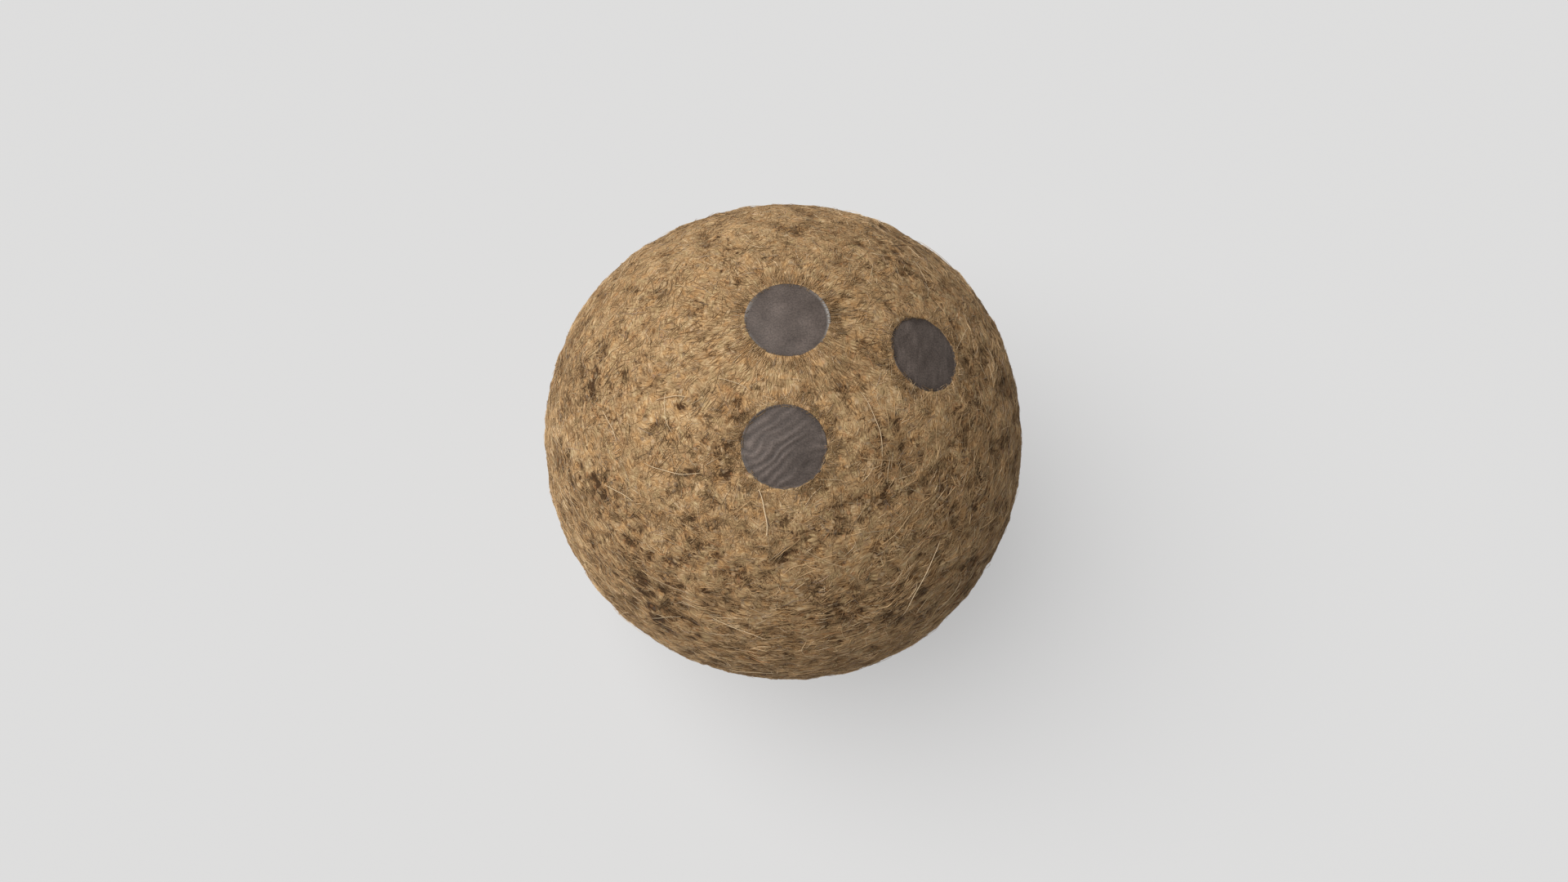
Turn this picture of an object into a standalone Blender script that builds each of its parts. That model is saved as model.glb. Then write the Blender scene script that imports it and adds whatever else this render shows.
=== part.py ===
"""A husked coconut: one closed body that stands on a small flat spot at its blossom end.

Metres, +Z up. The origin is the middle of the flat spot. +Z runs from there through the
middle of the nut and out of the eye at its stem end, and -Y is the side of the second eye.
"""
import math

import bmesh
import bpy
from mathutils import Vector

# The whole nut, measured over its fibre, before the flat spot is taken off the bottom
NUT_WIDTH = 0.110
NUT_LENGTH = 0.110
REST_SPOT_WIDTH = 0.024

# Three faint seams run from end to end, where the fruit's three parts grew together
SEAM_COUNT = 3
SEAM_RISE = 0.0004
SEAM_TURN = math.radians(40)

# Slow swells keep the nut from being a perfect ball: waves a radian, and where each starts
SWELL_RISE = 0.0005
SWELL_WAVES = Vector((3.1, 2.7, 3.4))
SWELL_STARTS = Vector((1.7, 0.4, 2.2))

# Seams and swells fade out over this height, so that the flat spot stays flat
FADE_HEIGHT = 0.025

# The three eyes: the width of each floor, its lean from +Z and its turn about +Z from +X
TOP_EYE_WIDTH = 0.0156
TOP_EYE_LEAN = math.radians(1.2)
TOP_EYE_TURN = math.radians(55)
FRONT_EYE_WIDTH = 0.0152
FRONT_EYE_LEAN = math.radians(25.4)
FRONT_EYE_TURN = math.radians(-90)
SIDE_EYE_WIDTH = 0.0150
SIDE_EYE_LEAN = math.radians(30.4)
SIDE_EYE_TURN = math.radians(-4.6)

# A recess: how deep its floor lies, how gently the floor bulges and how far its wall leans
EYE_DEPTH = 0.0013
EYE_FLOOR_CURVE = 0.120
EYE_WALL_LEAN = math.radians(35)
CUTTER_STAND_OUT = 0.0012

# Fineness of the facets
NUT_SEGMENTS = 64
NUT_RINGS = 32
EYE_SEGMENTS = 40
EYE_FLOOR_STEPS = 4

FIBRE_COLOUR = (0.36, 0.22, 0.10, 1)
EYE_COLOUR = (0.13, 0.105, 0.095, 1)


def clear_scene():
    for item in list(bpy.data.objects):
        bpy.data.objects.remove(item)


def new_collection(name):
    collection = bpy.data.collections.new(name)
    bpy.context.scene.collection.children.link(collection)
    return collection


def new_material(name, colour, roughness):
    material = bpy.data.materials.new(name)
    material.use_nodes = True
    shader = material.node_tree.nodes["Principled BSDF"]
    shader.inputs["Base Color"].default_value = colour
    shader.inputs["Roughness"].default_value = roughness
    shader.inputs["Metallic"].default_value = 0.0
    return material


def rest_drop():
    """How far below the nut's middle the flat spot lies."""
    share = REST_SPOT_WIDTH / NUT_WIDTH
    return NUT_LENGTH / 2 * math.sqrt(1 - share**2)


def egg_reach(direction):
    """Distance from the nut's middle to its plain oval surface along a unit direction."""
    across = (direction.x**2 + direction.y**2) / (NUT_WIDTH / 2) ** 2
    along = direction.z**2 / (NUT_LENGTH / 2) ** 2
    return 1 / math.sqrt(across + along)


def rise(direction):
    """How far the seams and swells lift the surface along a unit direction."""
    turn = math.atan2(direction.y, direction.x) - SEAM_TURN
    flank = 1 - direction.z**2
    seams = SEAM_RISE * flank * math.cos(SEAM_COUNT * turn)
    swell = SWELL_RISE
    for axis in range(3):
        swell *= math.sin(SWELL_WAVES[axis] * direction[axis] + SWELL_STARTS[axis])
    height = egg_reach(direction) * direction.z + rest_drop()
    share = min(max(height / FADE_HEIGHT, 0), 1)
    return (seams + swell) * share**2 * (3 - 2 * share)


def skin_point(direction):
    """A point on the nut's skin, in the part's own frame."""
    middle = Vector((0, 0, rest_drop()))
    return middle + direction * (egg_reach(direction) + rise(direction))


def direction_of(lean, turn):
    flank = math.sin(lean)
    return Vector((flank * math.cos(turn), flank * math.sin(turn), math.cos(lean)))


def make_body(collection, material):
    """The nut without its eyes: a ball, cut flat below, then lifted by its seams and swells."""
    bm = bmesh.new()
    bmesh.ops.create_uvsphere(bm, u_segments=NUT_SEGMENTS, v_segments=NUT_RINGS, radius=1)
    bmesh.ops.scale(bm, vec=(NUT_WIDTH / 2, NUT_WIDTH / 2, NUT_LENGTH / 2), verts=bm.verts)
    everything = bm.verts[:] + bm.edges[:] + bm.faces[:]
    cut = bmesh.ops.bisect_plane(
        bm,
        geom=everything,
        dist=0.00001,
        plane_co=(0, 0, -rest_drop()),
        plane_no=(0, 0, -1),
        clear_outer=True,
    )
    rim = [item for item in cut["geom_cut"] if isinstance(item, bmesh.types.BMEdge)]
    corners = list({vert for edge in rim for vert in edge.verts})
    grow = REST_SPOT_WIDTH / 2 / corners[0].co.xy.length
    bmesh.ops.scale(bm, vec=(grow, grow, 1), verts=corners)
    bmesh.ops.contextual_create(bm, geom=rim)
    for vert in bm.verts:
        direction = vert.co.normalized()
        vert.co += direction * rise(direction)
    bmesh.ops.translate(bm, vec=(0, 0, rest_drop()), verts=bm.verts)
    bmesh.ops.recalc_face_normals(bm, faces=bm.faces)
    mesh = bpy.data.meshes.new("coconut")
    bm.to_mesh(mesh)
    bm.free()
    mesh.materials.append(material)
    mesh.shade_smooth()
    body = bpy.data.objects.new("coconut", mesh)
    collection.objects.link(body)
    return body


def recess_outline(width):
    """Half outline of an eye's cutter: its top, down its leaning wall, then in over the floor."""
    reach = width / 2
    outline = []
    for step in range(EYE_FLOOR_STEPS + 1):
        out = reach * step / EYE_FLOOR_STEPS
        outline.append((out, -EYE_DEPTH - out**2 / (2 * EYE_FLOOR_CURVE)))
    wall_height = CUTTER_STAND_OUT - outline[-1][1]
    mouth = reach + wall_height * math.tan(EYE_WALL_LEAN)
    outline.append((mouth, CUTTER_STAND_OUT))
    outline.append((0, CUTTER_STAND_OUT))
    outline.reverse()
    return outline


def make_eye_cutter(collection, material, name, width, direction):
    """A turned plug that leaves one eye's recess."""
    mesh = bpy.data.meshes.new(name)
    outline = [(out, 0, up) for out, up in recess_outline(width)]
    runs = [(step, step + 1) for step in range(len(outline) - 1)]
    mesh.from_pydata(outline, runs, [])
    mesh.materials.append(material)
    cutter = bpy.data.objects.new(name, mesh)
    collection.objects.link(cutter)
    turned = cutter.modifiers.new("turned", "SCREW")
    turned.axis = "Z"
    turned.steps = EYE_SEGMENTS
    turned.render_steps = EYE_SEGMENTS
    turned.use_merge_vertices = True
    turned.merge_threshold = 0.00001
    cutter.location = skin_point(direction)
    cutter.rotation_mode = "QUATERNION"
    cutter.rotation_quaternion = direction.to_track_quat("Z", "Y")
    cutter.hide_render = True
    cutter.display_type = "WIRE"
    return cutter


def cut_eye(body, cutter):
    recess = body.modifiers.new(cutter.name, "BOOLEAN")
    recess.operation = "DIFFERENCE"
    recess.solver = "EXACT"
    recess.material_mode = "TRANSFER"
    recess.object = cutter


clear_scene()
fibre = new_material("coir", FIBRE_COLOUR, 0.9)
eye_skin = new_material("eye_skin", EYE_COLOUR, 0.55)
nut = make_body(new_collection("husked_coconut"), fibre)
cutters = new_collection("cutters")
EYES = (
    ("top_eye", TOP_EYE_WIDTH, TOP_EYE_LEAN, TOP_EYE_TURN),
    ("front_eye", FRONT_EYE_WIDTH, FRONT_EYE_LEAN, FRONT_EYE_TURN),
    ("side_eye", SIDE_EYE_WIDTH, SIDE_EYE_LEAN, SIDE_EYE_TURN),
)
for eye_name, eye_width, eye_lean, eye_turn in EYES:
    facing = direction_of(eye_lean, eye_turn)
    cut_eye(nut, make_eye_cutter(cutters, eye_skin, eye_name, eye_width, facing))
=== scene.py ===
"""A husked coconut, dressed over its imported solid: the felted ground of the husk, the three
eyes, the coir strands that cover it, and a few long loose hairs.

Metres, +Z up. The nut stands on its flat spot at the origin, with one eye on top.
"""
import math

import bmesh
import bpy
import numpy as np
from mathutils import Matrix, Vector


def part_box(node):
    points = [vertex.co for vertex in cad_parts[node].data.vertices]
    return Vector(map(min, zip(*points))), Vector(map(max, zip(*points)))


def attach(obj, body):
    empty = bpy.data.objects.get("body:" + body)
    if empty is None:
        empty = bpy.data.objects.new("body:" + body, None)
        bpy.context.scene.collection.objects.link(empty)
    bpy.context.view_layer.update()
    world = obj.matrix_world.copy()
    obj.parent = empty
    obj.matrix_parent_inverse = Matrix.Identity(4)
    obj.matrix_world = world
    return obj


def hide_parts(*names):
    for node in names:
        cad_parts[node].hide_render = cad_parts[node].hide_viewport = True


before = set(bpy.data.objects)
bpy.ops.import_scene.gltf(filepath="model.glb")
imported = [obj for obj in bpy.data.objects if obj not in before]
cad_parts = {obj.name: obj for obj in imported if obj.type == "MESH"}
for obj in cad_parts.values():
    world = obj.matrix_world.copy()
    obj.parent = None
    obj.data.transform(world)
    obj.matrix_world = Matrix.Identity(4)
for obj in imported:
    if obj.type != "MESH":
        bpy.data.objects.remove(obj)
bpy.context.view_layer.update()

# --- The nut and its felted ground -------------------------------------------------------
# A hard ball of shell under a felt of crushed husk, grown in one piece. The felt is deep
# brown and lumpy, lies a little below the tops of the strands and has small pits in it.
# It is pressed flat where the nut rests.

# The solid's own measures: its flat spot, its seams and its slow swells
low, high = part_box("coconut")
NUT_RADIUS = (high.y - low.y) / 2
REST_SPOT_WIDTH = 0.024
REST_DROP = math.sqrt(NUT_RADIUS**2 - (REST_SPOT_WIDTH / 2) ** 2)
NUT_MIDDLE = np.array((0, 0, REST_DROP))
SEAM_COUNT = 3
SEAM_RISE = 0.0004
SEAM_TURN = math.radians(40)
SWELL_RISE = 0.0005
SWELL_WAVES = np.array((3.1, 2.7, 3.4))
SWELL_STARTS = np.array((1.7, 0.4, 2.2))
FADE_HEIGHT = 0.025

# The felt: how high it is pressed soft where it rests, how deep it lies under the skin, how
# much its clumps, knots and crumbs rise and its pits sink, and how finely its mesh is cut
SOFT_REST = 0.00015
GROUND_DEPTH = 0.00030
CLUMP_RISE = 0.00012
KNOT_RISE = 0.00009
CRUMB_RISE = 0.00007
PIT_DEPTH = 0.0005
FELT_CUTS = 127

# The eyes: name, width of the floor, lean and turn, as the solid has them
EYES = (
    ("top_eye", 0.0156, 1.2, 55),
    ("front_eye", 0.0152, 25.4, -90),
    ("side_eye", 0.0150, 30.4, -4.6),
)

# Close to an eye the felt is pressed: the share of its rise that is left, and how far out
EYE_CALM = 0.25
EYE_CALM_REACH = 0.004

# The bed cut under each eye: how far past its floor, how wide its wall is, and how deep
EYE_BED_MARGIN = 0.0011
EYE_BED_WALL = 0.0008
EYE_BED_DEPTH = 0.0022


def facing_of(lean, turn):
    """Unit direction from the nut's middle: lean from +Z, turn about it from +X, in degrees."""
    lean = math.radians(lean)
    turn = math.radians(turn)
    flank = math.sin(lean)
    return np.array((flank * math.cos(turn), flank * math.sin(turn), math.cos(lean)))


def skin_reach(facing):
    """How far the nut's skin lies from its middle along unit directions."""
    turn = np.arctan2(facing[..., 1], facing[..., 0]) - SEAM_TURN
    seams = SEAM_RISE * (1 - facing[..., 2] ** 2) * np.cos(SEAM_COUNT * turn)
    swell = SWELL_RISE * np.prod(np.sin(SWELL_WAVES * facing + SWELL_STARTS), axis=-1)
    height = NUT_RADIUS * facing[..., 2] + REST_DROP
    share = np.clip(height / FADE_HEIGHT, 0, 1)
    reach = NUT_RADIUS + (seams + swell) * share**2 * (3 - 2 * share)
    downward = np.maximum(-facing[..., 2], 0.5)
    return np.minimum(reach, REST_DROP / downward)


def ripples(seed, size, count=28):
    """A smooth random pattern over space, of about unit strength, its lumps about size wide."""
    draw = np.random.default_rng(seed)
    waves = draw.normal(size=(count, 3))
    waves /= np.linalg.norm(waves, axis=1, keepdims=True)
    waves *= draw.uniform(0.6, 1.5, (count, 1)) * math.pi / size
    starts = draw.uniform(0, 2 * math.pi, count)

    def read(points):
        return np.cos(points @ waves.T + starts).sum(-1) * math.sqrt(2 / count)

    return read


def pressed(points):
    """Points that would reach below the surface the nut stands on are pressed up to it."""
    height = points[..., 2]
    squeezed = SOFT_REST * np.exp(np.minimum(height - SOFT_REST, 0) / SOFT_REST)
    points[..., 2] = np.where(height < SOFT_REST, squeezed, height)
    return points


# Darker places in the felt, the small strong ones sunk in as pits, and a few paler ones: lean,
# turn, width in millimetres, how much longer they are round the nut, and strength
DARK_PLACES = (
    (45.8, -170.1, 1.8, 1.0, 1.1),
    (54.2, -147.8, 2.0, 1.4, 1.2),
    (34.6, -141.7, 1.4, 1.0, 0.8),
    (33.6, -151.0, 3.0, 1.0, 0.5),
    (30.6, -134.0, 2.0, 1.0, 0.5),
    (60.5, -161.8, 1.6, 1.0, 1.0),
    (57.5, -156.6, 1.2, 1.0, 0.9),
    (62.6, -157.0, 1.1, 1.0, 0.8),
    (23.5, -141.5, 1.3, 1.3, 0.6),
    (14.9, -163.5, 1.3, 1.0, 0.6),
    (16.0, -140.0, 5.5, 1.0, 0.4),
    (20.0, -49.7, 1.3, 1.0, 0.9),
    (31.0, -40.6, 2.4, 1.4, 0.7),
    (34.5, -55.0, 3.8, 1.3, 0.5),
    (33.8, -102.1, 1.4, 1.0, 0.5),
    (32.2, -112.5, 1.8, 1.0, 0.7),
    (36.0, -116.0, 3.8, 1.0, 0.7),
    (28.8, -111.8, 3.4, 1.0, 0.5),
    (20.8, -114.5, 2.4, 1.0, 0.5),
    (24.5, -115.5, 1.6, 1.0, 0.6),
    (33.3, -76.5, 1.6, 1.0, 0.4),
    (40.7, -74.0, 1.7, 1.5, 0.5),
    (43.0, -80.7, 1.5, 1.4, 0.3),
    (43.0, -97.9, 1.5, 1.0, 0.6),
    (46.6, -88.5, 2.0, 1.8, 0.5),
    (52.5, -101.2, 1.6, 1.4, 0.7),
    (48.6, -115.9, 1.5, 1.0, 0.6),
    (55.1, -119.5, 1.8, 1.2, 0.7),
    (57.8, -132.0, 2.0, 1.0, 0.7),
    (67.2, -126.0, 3.4, 1.3, 1.0),
    (64.5, -122.0, 2.8, 1.3, 0.8),
    (70.5, -118.5, 3.6, 1.7, 0.7),
    (76.5, -120.5, 4.2, 1.5, 1.2),
    (34.6, 38.5, 2.4, 1.0, 0.6),
    (39.5, 41.4, 3.8, 1.2, 0.5),
    (45.0, -11.0, 3.2, 1.5, 0.6),
    (17.0, 111.0, 3.4, 1.0, 0.6),
    (41.0, -63.0, 3.0, 1.6, 0.5),
    (53.8, -52.7, 2.4, 2.2, 0.5),
    (57.0, -68.6, 2.0, 2.4, 0.6),
    (64.0, -76.0, 2.2, 2.6, 0.5),
    (90.8, -94.0, 2.6, 2.2, 0.6),
    (35.0, -92.0, 5.0, 1.4, -0.7),
    (53.0, -85.0, 3.6, 1.3, -0.8),
    (61.0, -93.0, 3.4, 1.3, -0.7),
    (42.0, -34.0, 3.6, 1.3, -0.7),
    (33.0, -25.0, 3.4, 1.0, -0.6),
    (51.0, -46.0, 3.4, 1.3, -0.6),
    (73.5, -130.0, 3.6, 1.0, -0.8),
    (34.0, 124.0, 3.4, 1.0, -0.6),
    (9.0, -115.0, 3.0, 1.0, -0.5),
    (12.0, 52.0, 4.0, 1.0, -0.9),
    (44.0, -165.0, 3.4, 1.0, -0.6),
    (40.0, -6.0, 3.0, 1.2, -0.7),
    (51.0, -122.0, 3.4, 1.0, -0.5),
    (38.0, -118.0, 3.2, 1.0, 0.5),
    (63.0, -109.0, 3.2, 1.6, 0.6),
    (69.0, -61.0, 3.2, 2.0, 0.6),
    (32.0, -148.0, 2.8, 1.0, 0.5),
    (72.5, -121.5, 3.0, 1.3, 0.8),
)
DARK_WIDTH_SHARE = 0.62

# The small, strong ones are pits, and more are scattered, shallower towards the top
WIDEST_PIT = 2.1
FAINTEST_PIT = 0.45
SCATTERED_PITS = 110
PIT_WIDTH_SHARE = 0.6
pits = [
    (lean, turn, width, strength)
    for lean, turn, width, _, strength in DARK_PLACES
    if width < WIDEST_PIT and strength > FAINTEST_PIT
]
draw = np.random.default_rng(3)
for _ in range(SCATTERED_PITS):
    lean = math.degrees(math.acos(draw.uniform(-1, 0.90)))
    turn, width, strength = draw.uniform((-180, 0.6, 0.3), (180, 1.5, 0.7))
    pits.append((lean, turn, width, strength * min(1, max(0, lean - 20) / 40)))
pit_facing = np.array([facing_of(lean, turn) for lean, turn, *_ in pits])
pit_width, pit_strength = np.array(pits).T[2:]
clumps = ripples(21, 0.0075)
knots = ripples(22, 0.0028)
crumbs = ripples(23, 0.0015)
dark_facing = np.array([facing_of(lean, turn) for lean, turn, *_ in DARK_PLACES])
dark_turn = np.radians([turn for _, turn, *_ in DARK_PLACES])
dark_round = np.stack((-np.sin(dark_turn), np.cos(dark_turn), 0 * dark_turn), 1)
dark_width, dark_longer, dark_strength = np.array(DARK_PLACES).T[2:]
patches = ripples(31, 0.014)
blotches = ripples(32, 0.0048)
frays = ripples(33, 0.0021)

# How much the listed dark places darken the felt, and how much painted shade darkens its hollows
# and pits
HOLLOW_PAINTED_SHADE = 0.04
DARK_PLACE_SHADE = 0.14
PIT_PAINTED_SHADE = 0.07


def pit_share(facing):
    """How deep in a pit each direction lies, from 0 on open ground to about 1 in a deep one."""
    apart = 2 * NUT_RADIUS**2 * (1 - facing @ pit_facing.T)
    apart *= np.exp(0.9 * crumbs(facing * NUT_RADIUS))[..., None]
    reach = pit_width / 1000 * PIT_WIDTH_SHARE
    return (pit_strength * np.exp(-apart / reach**2)).max(-1)


def felt_rise(facing):
    """Height of the felt against the skin: clumps, knots, crumbs and pits, lower by the eyes."""
    places = facing * NUT_RADIUS
    rise = CLUMP_RISE * clumps(places) + KNOT_RISE * knots(places) + CRUMB_RISE * crumbs(places)
    for _, width, lean, turn in EYES:
        apart = np.arccos(np.clip(facing @ facing_of(lean, turn), -1, 1)) * NUT_RADIUS
        rise *= np.clip(EYE_CALM + (apart - width / 2) / EYE_CALM_REACH, EYE_CALM, 1)
    return rise - PIT_DEPTH * pit_share(facing)


def coir_shade(facing):
    """How much darker than usual the husk is, as a share: patches, dark places, and painted shade
    in hollows and pits.
    """
    places = facing * NUT_RADIUS
    apart = 2 * NUT_RADIUS**2 * (1 - facing @ dark_facing.T)
    apart -= (1 - dark_longer**-2) * (NUT_RADIUS * (facing @ dark_round.T)) ** 2
    apart *= np.exp(0.9 * frays(places) + 0.8 * crumbs(places))[..., None]
    reach = dark_width / 1000 * DARK_WIDTH_SHARE
    darkening = np.clip((dark_strength * np.exp(-apart / reach**2)).sum(-1), -0.8, 1.5)
    # Painted shade where the felt lies low between its knots and crumbs
    hollows = np.clip(-0.5 - knots(places) - 0.7 * crumbs(places), 0, 2)
    shade = -0.012 * patches(places) - 0.018 * blotches(places) - 0.012 * frays(places)
    shade += HOLLOW_PAINTED_SHADE * hollows + DARK_PLACE_SHADE * darkening
    # Painted shade in the pits, deeper pits darker
    return shade + PIT_PAINTED_SHADE * np.clip(pit_share(facing), 0, 1)


def material_of(name):
    """A new material: its shader, and functions that add a node and join two sockets."""
    material = bpy.data.materials.new(name)
    material.use_nodes = True
    tree = material.node_tree
    shader = tree.nodes["Principled BSDF"]

    def add(kind, **settings):
        node = tree.nodes.new(kind)
        for key, value in settings.items():
            if hasattr(node, key):
                setattr(node, key, value)
            else:
                node.inputs[key.replace("_", " ")].default_value = value
        return node

    return material, shader, add, tree.links.new


def ramp_node(add, stops):
    """A colour ramp through (place, (red, green, blue)) stops."""
    ramp = add("ShaderNodeValToRGB")
    elements = ramp.color_ramp.elements
    while len(elements) < len(stops):
        elements.new(1)
    for element, (place, colour) in zip(elements, stops):
        element.position = place
        element.color = (*colour, 1)
    return ramp


# The felt's browns, from its gaps up to its palest fibres, and what turns them redder or
# more straw-coloured
FELT_STOPS = (
    (0.16, (0.062, 0.031, 0.013)),
    (0.33, (0.203, 0.116, 0.053)),
    (0.48, (0.362, 0.222, 0.108)),
    (0.60, (0.485, 0.318, 0.160)),
    (0.74, (0.650, 0.475, 0.280)),
)
HUE_STOPS = (
    (0.39, (1.045, 0.970, 0.840)),
    (0.50, (0.985, 1.000, 1.010)),
    (0.61, (0.955, 1.020, 1.000)),
)
# Crumbs of another colour: the random number that picks them, how rare, and their colour
CRUMB_TINTS = (
    ("X", 0.87, (0.450, 0.215, 0.090)),
    ("Y", 0.88, (0.190, 0.155, 0.125)),
    ("Z", 0.82, (0.680, 0.500, 0.300)),
)
# How each layer of matted fibres is turned, in radians about each axis
FIBRE_TURNS = (
    (0.3, 1.1, 0.4),
    (1.9, 0.6, 2.2),
    (0.8, 2.4, 1.3),
    (2.6, 1.7, 0.9),
    (1.2, 0.2, 2.9),
    (0.1, 2.9, 1.8),
)
MATTED = (6, 1, 1)
ROUND_THE_NUT = (8, 8, 1)


class FeltNodes:
    """The felt's nodes: places measured from the nut's middle, plain and bent, and helpers."""

    def __init__(self, add, join):
        self.add = add
        self.join = join
        place = add("ShaderNodeTexCoord").outputs["Object"]
        self.middle = self.moved("SUBTRACT", place, tuple(NUT_MIDDLE))
        sway = self.noise(self.middle, Scale=260, Detail=2).outputs["Color"]
        self.bent = self.moved("MULTIPLY_ADD", sway, (0.0014, 0.0014, 0.0014), self.middle)
        self.flat = self.split(self.middle)
        self.low_down = self.ranged(self.flat["Z"], 0.044, 0.020)

    def joined(self, kind, values, **settings):
        """A node whose inputs, in order, are sockets or plain values."""
        node = self.add(kind, **settings)
        for socket, value in zip(node.inputs, values):
            if isinstance(value, bpy.types.NodeSocket):
                self.join(value, socket)
            else:
                socket.default_value = value
        return node

    def worked(self, operation, *numbers):
        return self.joined("ShaderNodeMath", numbers, operation=operation).outputs["Value"]

    def moved(self, operation, *vectors):
        return self.joined("ShaderNodeVectorMath", vectors, operation=operation).outputs["Vector"]

    def split(self, vector):
        return self.joined("ShaderNodeSeparateXYZ", (vector,)).outputs

    def ranged(self, value, low, high, to_low=0.0, to_high=1.0):
        step = self.add("ShaderNodeMapRange", interpolation_type="SMOOTHSTEP")
        self.join(value, step.inputs["Value"])
        step.inputs["From Min"].default_value = low
        step.inputs["From Max"].default_value = high
        step.inputs["To Min"].default_value = to_low
        step.inputs["To Max"].default_value = to_high
        return step.outputs["Result"]

    def mixed(self, below, above, share, **settings):
        """One colour laid over another, by a share; each is a socket or a plain value."""
        mix = self.add("ShaderNodeMix", data_type="RGBA", **settings)
        for name, value in (("Factor", share), ("A", below), ("B", above)):
            if isinstance(value, bpy.types.NodeSocket):
                self.join(value, mix.inputs[name])
            else:
                mix.inputs[name].default_value = value
        return mix.outputs["Result"]

    def noise(self, place, **settings):
        noise = self.add("ShaderNodeTexNoise", **settings)
        self.join(place, noise.inputs["Vector"])
        return noise

    def scattered(self, scale, start):
        """A slow random field that says where a layer of fibres lies on top."""
        field = self.noise(self.middle, noise_dimensions="4D", Scale=scale, Detail=1, W=start)
        return field.outputs["Fac"]

    def stretched(self, place, stretch, turn=(0, 0, 0)):
        lie = self.add("ShaderNodeMapping", vector_type="TEXTURE")
        lie.inputs["Rotation"].default_value = turn
        lie.inputs["Scale"].default_value = stretch
        self.join(place, lie.inputs["Vector"])
        return lie.outputs["Vector"]

    def fibres(self, place, scale, stretch, turn=(0, 0, 0)):
        """Fibres lying one way: red holds their tone and green their hue."""
        lie = self.stretched(place, stretch, turn)
        return self.noise(lie, Scale=scale, Detail=2, Roughness=0.55).outputs["Color"]


def matted_fibres(felt):
    """Fibres matted every way: each layer has its own direction and covers about a third."""
    mat = felt.fibres(felt.bent, 3300, MATTED)
    for index, turn in enumerate(FIBRE_TURNS):
        layer = felt.fibres(felt.bent, 3300, MATTED, turn)
        mat = felt.mixed(mat, layer, felt.ranged(felt.scattered(520, index * 3.7), 0.49, 0.55))
    return mat


def wound_fibres(felt, mat):
    """Fibres that lie round the nut, mostly on its flanks."""
    round_it = felt.fibres(felt.bent, 3000, ROUND_THE_NUT)
    often = felt.worked("MULTIPLY_ADD", felt.low_down, 0.20, felt.scattered(330, 31))
    return felt.mixed(mat, round_it, felt.ranged(often, 0.56, 0.64))


def spoke_fibres(felt, mat):
    """Fibres that lie straight out from the top eye."""
    ring = felt.add("ShaderNodeCombineXYZ")
    felt.join(felt.flat["X"], ring.inputs["X"])
    felt.join(felt.flat["Y"], ring.inputs["Y"])
    ring = ring.outputs["Vector"]
    slid = felt.add("ShaderNodeVectorMath", operation="SCALE", Scale=0.18)
    felt.join(felt.bent, slid.inputs[0])
    spokes = felt.moved("MULTIPLY_ADD", felt.moved("NORMALIZE", ring), (0.0115, 0.0115, 0.0115),
                        slid.outputs["Vector"])
    radial = felt.fibres(spokes, 3500, (1, 1, 1))
    out = felt.joined("ShaderNodeVectorMath", (ring,), operation="LENGTH").outputs["Value"]
    near_top = felt.ranged(out, 0.0300, 0.0090, -0.14, 0.16)
    near_top = felt.worked("ADD", near_top, felt.scattered(420, 53))
    above = felt.ranged(felt.flat["Z"], 0.0, 0.02)
    share = felt.worked("MULTIPLY", felt.ranged(near_top, 0.47, 0.60), above)
    return felt.mixed(mat, radial, share)


def felt_gaps(felt, shade):
    """Small crevices and partings between flank fibres, darkened as painted shade; more crevices
    where it is dark and lower down.
    """
    lying = felt.stretched(felt.bent, (1.5, 1.5, 0.85))
    crevice = felt.noise(lying, Scale=1050, Detail=4, Roughness=0.6, Distortion=0.6)
    gap = felt.worked("MULTIPLY_ADD", felt.scattered(120, 71), -0.40, crevice.outputs["Fac"])
    gap = felt.worked("MULTIPLY_ADD", shade, -0.75, gap)
    gap = felt.worked("MULTIPLY_ADD", felt.ranged(felt.flat["Z"], 0.050, 0.034), -0.060, gap)
    gap = felt.ranged(gap, 0.205, 0.125)
    parting = felt.split(felt.fibres(felt.bent, 1300, ROUND_THE_NUT))["X"]
    parting = felt.worked("MULTIPLY", felt.ranged(parting, 0.47, 0.36), felt.low_down)
    return felt.worked("MAXIMUM", gap, felt.worked("MULTIPLY", parting, 0.9))


def felt_hue(felt, browns, fibre):
    """Fibre by fibre the brown turns redder or more straw-coloured."""
    matted = felt.noise(felt.bent, Scale=560, Detail=3)
    hue = felt.worked("MULTIPLY", matted.outputs["Fac"], 0.80)
    hue = felt.worked("MULTIPLY_ADD", fibre["Y"], 0.20, hue)
    hues = ramp_node(felt.add, HUE_STOPS)
    felt.join(hue, hues.inputs["Fac"])
    return felt.mixed(browns, hues.outputs["Color"], 1, blend_type="MULTIPLY")


def felt_crumbs(felt, colour):
    """Rusty, greyish and pale crumbs here and there."""
    crumb = felt.add("ShaderNodeTexVoronoi", Scale=1000)
    felt.join(felt.bent, crumb.inputs["Vector"])
    kind = felt.split(crumb.outputs["Color"])
    close = felt.ranged(crumb.outputs["Distance"], 0.60, 0.25)
    for socket, rarity, tint in CRUMB_TINTS:
        rare = felt.ranged(kind[socket], rarity, rarity + 0.08, 0.0, 0.4)
        colour = felt.mixed(colour, (*tint, 1), felt.worked("MULTIPLY", rare, close))
    return colour


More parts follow.
